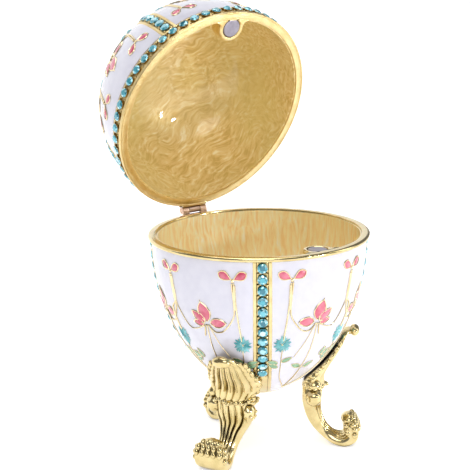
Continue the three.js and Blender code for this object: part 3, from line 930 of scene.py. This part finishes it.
def foot_skin(i, v, front, lift=0.0):
    """Points on the skin of the foot's fine section i at v, from -1 to 1 across it."""
    reach, height, width, before, behind, groove, lean = foot_line[i]
    dx, dz = foot_ahead[i]
    station = i * (len(FOOT_SECTIONS) - 1) / (FOOT_STEPS - 1)
    ribs = UPPER_RIBS if station < COLLAR_STATION else LOWER_RIBS
    ridge = np.abs(np.sin(math.pi * ribs * (v + 1) / 2)) ** 0.8
    body = np.sqrt(np.maximum(1 - v * v, 0)) ** 0.8
    carved = np.maximum(before * body - groove * (1 - ridge) * body ** 0.5, 0.06 * before * body)
    n = np.where(front, carved + lift, -behind * body ** 0.5 - lift)
    upper = 2.5 < station < COLLAR_STATION
    t = v * width * (1 + 0.05 * upper * np.sin(2 * math.pi * i / 9.0) * np.abs(v) ** 6)
    across = lean + t
    n = n - (0.42 * across ** 2 / reach if upper else 0.6 * (across / 8.7) ** 2)
    return np.stack([across, n * dz - reach, height + n * dx], -1)


def ball(rows=8, columns=12):
    """A round ball of radius 1: points and faces."""
    points = [(0, 0, 1)]
    for i in range(1, rows):
        fall = math.pi * i / rows
        points += ring_points(math.sin(fall), math.cos(fall), columns)
    points.append((0, 0, -1))
    last = len(points) - 1
    faces = [(0, 1 + j, 1 + (j + 1) % columns) for j in range(columns)]
    faces += grid_faces(rows - 1, columns, 1, closed=True)
    faces += [(last, last - columns + (j + 1) % columns, last - columns + j) for j in range(columns)]
    return np.array(points, float), faces


ball_points, ball_faces = ball()


def add_knob(shape, station, v, front, size, sink):
    """A rounded knob on the skin; size is across the foot, along it and out of it."""
    i = int(round(station * (FOOT_STEPS - 1) / (len(FOOT_SECTIONS) - 1)))
    at = foot_skin(i, np.array(v, float), front, -sink)
    dx, dz = foot_ahead[i]
    along = np.array([0, -dx, dz])
    outward = np.array([0, dz, dx]) * (1 if front else -1)
    axes = np.array([(1, 0, 0), along, outward]) * np.array(size)[:, None]
    shape.add(at + ball_points @ axes, ball_faces)


def add_knob_rows(shape, rows):
    """Rows of knobs: each is its station, how far it sags at its ends, the places across, whether
    it is on the front, and the knobs' size and sink."""
    for station, sag, places, front, size, sink in rows:
        for v in places:
            add_knob(shape, station + sag * v * v, v, front, size, sink)


def add_lobe(shape, at, size, folds, depth):
    """A ruffled bulb at (across, distance, height), folded round like a shell's rolled edge."""
    points, faces = ball(14, 30)
    turn = np.arctan2(points[:, 2], points[:, 0])
    fold = np.abs(np.sin(turn * folds / 2)) - 0.6
    swell = 1 + depth * fold * (0.35 + 0.65 * np.abs(points[:, 1]))
    points = points * swell[:, None] * np.array(size)
    shape.add(points + np.array([at[0], -at[1], at[2]]), faces)


def foot_shape(degrees):
    """One foot: the fluted sweep, the scroll on top, collar, side lobes, edge knobs and toe beads."""
    shape = Shape()
    across = np.cos(np.linspace(0, math.pi, 99))
    front_v = 0.75 * np.linspace(1, -1, 99) + 0.25 * across
    back_v = -np.cos(np.linspace(0, math.pi, 34))[1:-1]
    rings = [
        np.concatenate([foot_skin(i, front_v, True), foot_skin(i, back_v, False)])
        for i in range(FOOT_STEPS)
    ]
    shape.add(np.concatenate(rings), capped_grid(FOOT_STEPS, len(rings[0])))
    add_lobe(shape, (3.8, 28.3, -31.6), (2.9, 1.6, 1.75), 3, 0.06)
    edge_knobs = [
        (station, 0, (-0.98, 0.98), True, (0.6, 1.25, 0.75), 0.25)
        for station in np.arange(3.3, 8.0, 0.86)
    ]
    add_knob_rows(shape, [
        (1.1, 0, (-0.62, 0.62), True, (0.7, 0.7, 0.6), 0.3), *edge_knobs,
        (8.75, 0.9, np.linspace(-0.72, 0.72, 6), True, (0.85, 0.8, 0.95), 0.15),
        (8.25, 0.9, np.linspace(-0.6, 0.6, 7), True, (0.45, 0.42, 0.6), 0.05),
        (8.5, 0, (0.08,), True, (0.8, 0.75, 1.5), -0.3),
    ])
    for at, size, folds in (
        ((-6.4, 15.8, -45.5), (1.8, 2.2, 1.7), 5), ((-6.3, 15.8, -49.4), (2.5, 2.4, 2.6), 6),
        ((6.3, 15.8, -46.2), (1.2, 2.2, 1.4), 5), ((5.6, 15.8, -50.4), (1.6, 2.4, 2.8), 6),
    ):
        add_lobe(shape, at, size, folds, 0.14)
        for curl in range(4):
            swing = math.radians(25 + 55 * curl)
            spot = (at[0] * 1.16, at[1] + 1.6 * math.cos(swing), at[2] - 0.5 * size[2] * math.sin(swing))
            add_lobe(shape, spot, (0.7, 0.62, 0.6), 3, 0.0)
    add_lobe(shape, (-0.7, 26.4, -57.7), (3.7, 2.3, 1.9), 5, 0.1)
    add_knob_rows(shape, [
        (19.3, 0, np.linspace(-0.8, 0.8, 5), False, (0.82, 1.15, 0.9), 0.1),
        (20.15, 0, np.linspace(-0.8, 0.8, 5), False, (0.861, 1.2075, 0.945), 0.1),
        (20.95, 0, np.linspace(-0.8, 0.8, 4), False, (0.902, 1.265, 0.99), 0.1),
        (20.7, 0, np.linspace(-0.75, 0.75, 4), True, (0.85, 0.9, 0.9), 0.1),
    ])
    for station in (18.6, 19.3, 20.0):
        for side in (-1, 1):
            add_knob(shape, station, side, True, (0.8, 0.9, 0.9), 0.25)
            add_knob(shape, station, 0.8 * side, True, (0.7, 0.8, 0.8), 0.1)
    turn = math.radians(degrees)
    spin = np.array([
        [math.cos(turn), math.sin(turn), 0], [-math.sin(turn), math.cos(turn), 0], [0, 0, 1]
    ])
    shape.points = [points @ spin for points in shape.points]
    for points in shape.points:
        points[:, 2] = np.maximum(points[:, 2], FOOT_SOLE)
    return shape


foot_gold = gold_material("foot_gold", YELLOW_GOLD, DEEP_GOLD, DARK_CREASE_SHADE, 0.17, 700, 0.2)
for name, degrees in FOOT_ANGLES.items():
    foot_shape(degrees).piece(f"shell_{name}", CUP, [foot_gold], "gold", name, crease=60.0)

# ---- The hinge ----
# Two satin rose-gold leaves screwed behind the rims, with three knuckles round one pin.
# Its third colour is painted shade for the hinge's creases.
rose_gold = gold_material(
    "rose_gold", (0.86, 0.62, 0.46), (0.72, 0.47, 0.33), (0.3, 0.16, 0.1), 0.34, 1100, 0.3
)
for node in ("hinge_cup_leaf", "hinge_lid_leaf", "hinge_pin"):
    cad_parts[node].data.materials.clear()
    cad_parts[node].data.materials.append(rose_gold)

# ---- The lid's casting ----
# The upper half of the egg: a broad gold rim face with a fine dotted grain, a thin flange, a belt
# that holds a row of stones, and the same four bands above it.
LID = EggWall("lid", lid_place, "lid", 31.5, 31.4, 1.6, 2.5, 2.5, 1, (4.38, 46.3), (4.6, 44.8))
BELT_LOW, BELT_HIGH, BELT_RADIUS, BELT_DEPTH, BELT_BORDER = 1.7, 5.1, 31.9, 0.5, 0.45
LID_RIM = (
    (30.05, 0.9), (30.08, 0.3), (30.15, 0.1), (30.28, 0.06), (30.6, 0.06), (31.76, 0.06),
    (31.86, 0.12), (31.95, 0.14), (32.04, 0.04), (32.12, 0.0), (32.32, 0.0), (32.44, 0.06),
    (32.5, 0.2), (32.5, 0.95), (32.42, 1.15), (32.1, 1.25), (31.75, 1.3),
    (31.62, 1.4), (31.62, 1.62), (31.75, BELT_LOW), (31.88, BELT_LOW + 0.08),
    (BELT_RADIUS, BELT_LOW + 0.2), (31.88, BELT_LOW + BELT_BORDER - 0.08),
    (31.75, BELT_LOW + BELT_BORDER), (BELT_RADIUS - BELT_DEPTH, BELT_LOW + BELT_BORDER + 0.02),
    (BELT_RADIUS - BELT_DEPTH, BELT_HIGH - BELT_BORDER - 0.02), (31.75, BELT_HIGH - BELT_BORDER),
    (31.88, BELT_HIGH - BELT_BORDER + 0.08), (BELT_RADIUS, BELT_HIGH - 0.2),
    (31.88, BELT_HIGH - 0.08), (31.75, BELT_HIGH), (31.5, BELT_HIGH + 0.1),
)
lid_shape = casting_shape(LID, LID_RIM, 0.4)
add_boss(lid_shape, 1)
add_seat(lid_shape, 1)
satin_gold = gold_material(
    "satin_gold", (0.84, 0.67, 0.34), (0.72, 0.53, 0.22), SOFT_CREASE_SHADE, 0.36, 1500, 1.0
)
lid_shape.piece("lid_casting", LID, [satin_gold], "gold", "lid")

# ---- The pearl enamel inside the lid ----
# The same cream enamel as in the cup, brushed in wide swirls that catch the light; its tones are darker
# and more golden than the cup's as painted shade.
shaded_lid_pearl = pearl_material(
    "lid_pearl_enamel",
    ((0.64, 0.44, 0.14), (0.78, 0.57, 0.23), (0.86, 0.68, 0.32), (1.0, 0.90, 0.62)),
    (0.72, 0.61, 0.24), (150.0, 900.0, 900.0), (0, 0.6, 0), 0.014,
)
lining_shape(LID).piece("lid_pearl_lining", LID, [shaded_lid_pearl], "pearl_enamel", "lid_lining")

# ---- The painted enamel panels of the lid ----
# The same buds and flowers as on the cup, upside down on the closed egg's crown.


def lid_drawing(drawing):
    """The drawing of one lid panel: buds by the belt, flowers higher up, stems to the crown."""
    near = drawing.near
    foot = (-8.0, 43.0)
    sprigs = (
        ((-29.0, 10.9), (-29.0, 25.0), (-11.5, 19.4)), ((11.0, 10.9), (13.0, 25.0), (27.5, 19.4)),
    )
    for index, (bud, aster, flower) in enumerate(sprigs):
        add_bud_pair(drawing, bud)
        top = near(bud, 0, 1.2)
        split = near(bud, -0.3, 5.6)
        add_stem(drawing, 0.25, near(top, -0.28, 0), near(split, -0.25, 0), near(aster, 0.1, -1.6))
        add_stem(
            drawing, 0.23, near(top, 0.28, 0), near(split, 0.3, 0), near(split, 0.9, 3.4),
            near(flower, -3.0, 2.2), near(flower, -0.6, 1.2),
        )
        add_aster(drawing, aster, 17 + index)
        add_three_petals(drawing, flower)
        add_stem(drawing, 0.14, near(aster, 0.2, 1.2), (aster[0] * 0.8, 36.0), foot)
        add_stem(drawing, 0.14, near(flower, 0.2, 1.0), (flower[0] * 0.9, 32.0), foot)
        for across, down, angle in ((-0.5, 6.4, -64), (0.5, 5.8, 62)):
            add_petal(drawing, near(aster, across, down), angle, 3.3, 1.6, GREEN)


fit_panels(LID, lid_drawing)

# ---- The lid's stones ----
# Twelve stones up each band and a full row round the belt, with pairs of small prongs between.
set_bands(LID)

BELT_STONES = 53
BELT_FIRST = -14.2
BELT_STONE_RADIUS, BELT_STONE_REACH = 1.36, 32.3
PRONG_RADIUS, PRONG_REACH, PRONG_RISE = 0.30, 31.75, 0.95
HINGE_HALF_ANGLE = 8
UPWARD = np.array([0, 0, 1.0])
belt_stones, belt_prongs = Shape(), Shape()
stone_points, stone_faces = brilliant(BELT_STONE_RADIUS)
prong_points, prong_faces = bead(PRONG_RADIUS, 1.1)
belt_middle = (BELT_LOW + BELT_HIGH) / 2
# Each stone sits in a short cup: its outline turned round, from the channel's floor to the girdle.
COLLET_OUTLINE = ((1.25, -0.95), (1.36, -0.2), (1.42, 0.02), (1.4, 0.1), (1.32, 0.06), (0.9, -0.5))
COLLET_SIDES = 20
collet_points = np.array([
    point for radius, height in COLLET_OUTLINE for point in ring_points(radius, height, COLLET_SIDES)
])
collet_faces = capped_grid(len(COLLET_OUTLINE), COLLET_SIDES)
rng = np.random.default_rng(5)
for i in range(BELT_STONES):
    degrees = BELT_FIRST + 360 * i / BELT_STONES
    if abs(degrees % 360 - 180) < HINGE_HALF_ANGLE:
        continue
    turn = math.radians(degrees)
    outward = np.array([math.sin(turn), -math.cos(turn), 0.0])
    at = outward * BELT_STONE_REACH + np.array([0, 0, belt_middle])
    belt_prongs.add(upright(at, outward, UPWARD, collet_points), collet_faces)
    spin = np.array(Matrix.Rotation(rng.uniform(0, 0.8), 3, "Z"))
    tilt = outward + 0.05 * rng.normal(size=3)
    belt_stones.add(upright(at, tilt, UPWARD, stone_points @ spin.T), stone_faces)
    turn = math.radians(degrees + 180 / BELT_STONES)
    outward = np.array([math.sin(turn), -math.cos(turn), 0.0])
    for rise in (-PRONG_RISE, PRONG_RISE):
        at = outward * PRONG_REACH + np.array([0, 0, belt_middle + rise])
        belt_prongs.add(upright(at, outward, UPWARD, prong_points), prong_faces)
belt_stones.piece("lid_belt_stones", LID, [aqua_glass], "aqua_stone", crease=FACET_CREASE)
belt_prongs.piece("lid_belt_prongs", LID, [polished_gold], "gold")

magnet_shape(1).piece("lid_magnet_disc", LID, [nickel], "magnet_steel", "lid_magnet")

# ---- The floor and the light ----
# A pale sweep that rises behind the box, a soft key from the upper left and two fills.
FLOOR_HALF = 1.2
profile = [(-FLOOR_HALF, 0.0)]
for i in range(13):
    turn = math.pi / 2 * i / 12
    profile.append((0.7 + 0.5 * math.sin(turn), 0.5 - 0.5 * math.cos(turn)))
profile.append((FLOOR_HALF, 1.6))
rows = [[(x, y, z) for y, z in profile] for x in (-FLOOR_HALF, FLOOR_HALF)]
floor_mesh = bpy.data.meshes.new("studio_sweep")
floor_mesh.from_pydata(np.array(rows).reshape(-1, 3).tolist(), [], grid_faces(2, len(profile)))
floor_mesh.shade_smooth()
floor = bpy.data.objects.new("studio_sweep", floor_mesh)
bpy.context.scene.collection.objects.link(floor)
paper = Finish("studio_paper", {
    "Base Color": (0.93, 0.93, 0.93, 1), "Roughness": 0.7,
    "Emission Color": (1, 1, 1, 1), "Emission Strength": 0.55,
}).material
floor_mesh.materials.append(paper)

for name, place, size, power, colour in (
    ("key_softbox", (-0.55, -0.75, 0.75), (0.6, 0.6), 3.7, (1.0, 0.98, 0.95)),
    ("fill_softbox", (0.85, -0.45, 0.45), (0.4, 0.8), 2.0, (0.96, 0.98, 1.0)),
    ("top_softbox", (0.0, 0.1, 1.0), (0.7, 0.7), 4.6, (1.0, 1.0, 1.0)),
    ("long_spark", (0.362, -0.668, 0.05), (0.035, 0.12), 0.9, (1.0, 1.0, 1.0)),
    ("round_spark", (0.188, -0.731, 0.192), (0.05, 0.05), 0.7, (1.0, 1.0, 1.0)),
):
    lamp = bpy.data.objects.new(name, bpy.data.lights.new(name, "AREA"))
    lamp.data.shape = "RECTANGLE"
    lamp.data.size, lamp.data.size_y = size
    lamp.data.energy = power
    lamp.data.color = colour
    lamp.location = place
    towards = rim_middle - Vector(place)
    lamp.rotation_euler = towards.to_track_quat("-Z", "Y").to_euler()
    bpy.context.scene.collection.objects.link(lamp)

room = bpy.data.worlds.new("studio_room")
room.use_nodes = True
room.node_tree.nodes["Background"].inputs["Color"].default_value = (0.92, 0.94, 1.0, 1)
room.node_tree.nodes["Background"].inputs["Strength"].default_value = 0.22
bpy.context.scene.world = room
bpy.context.scene.view_settings.view_transform = "Standard"
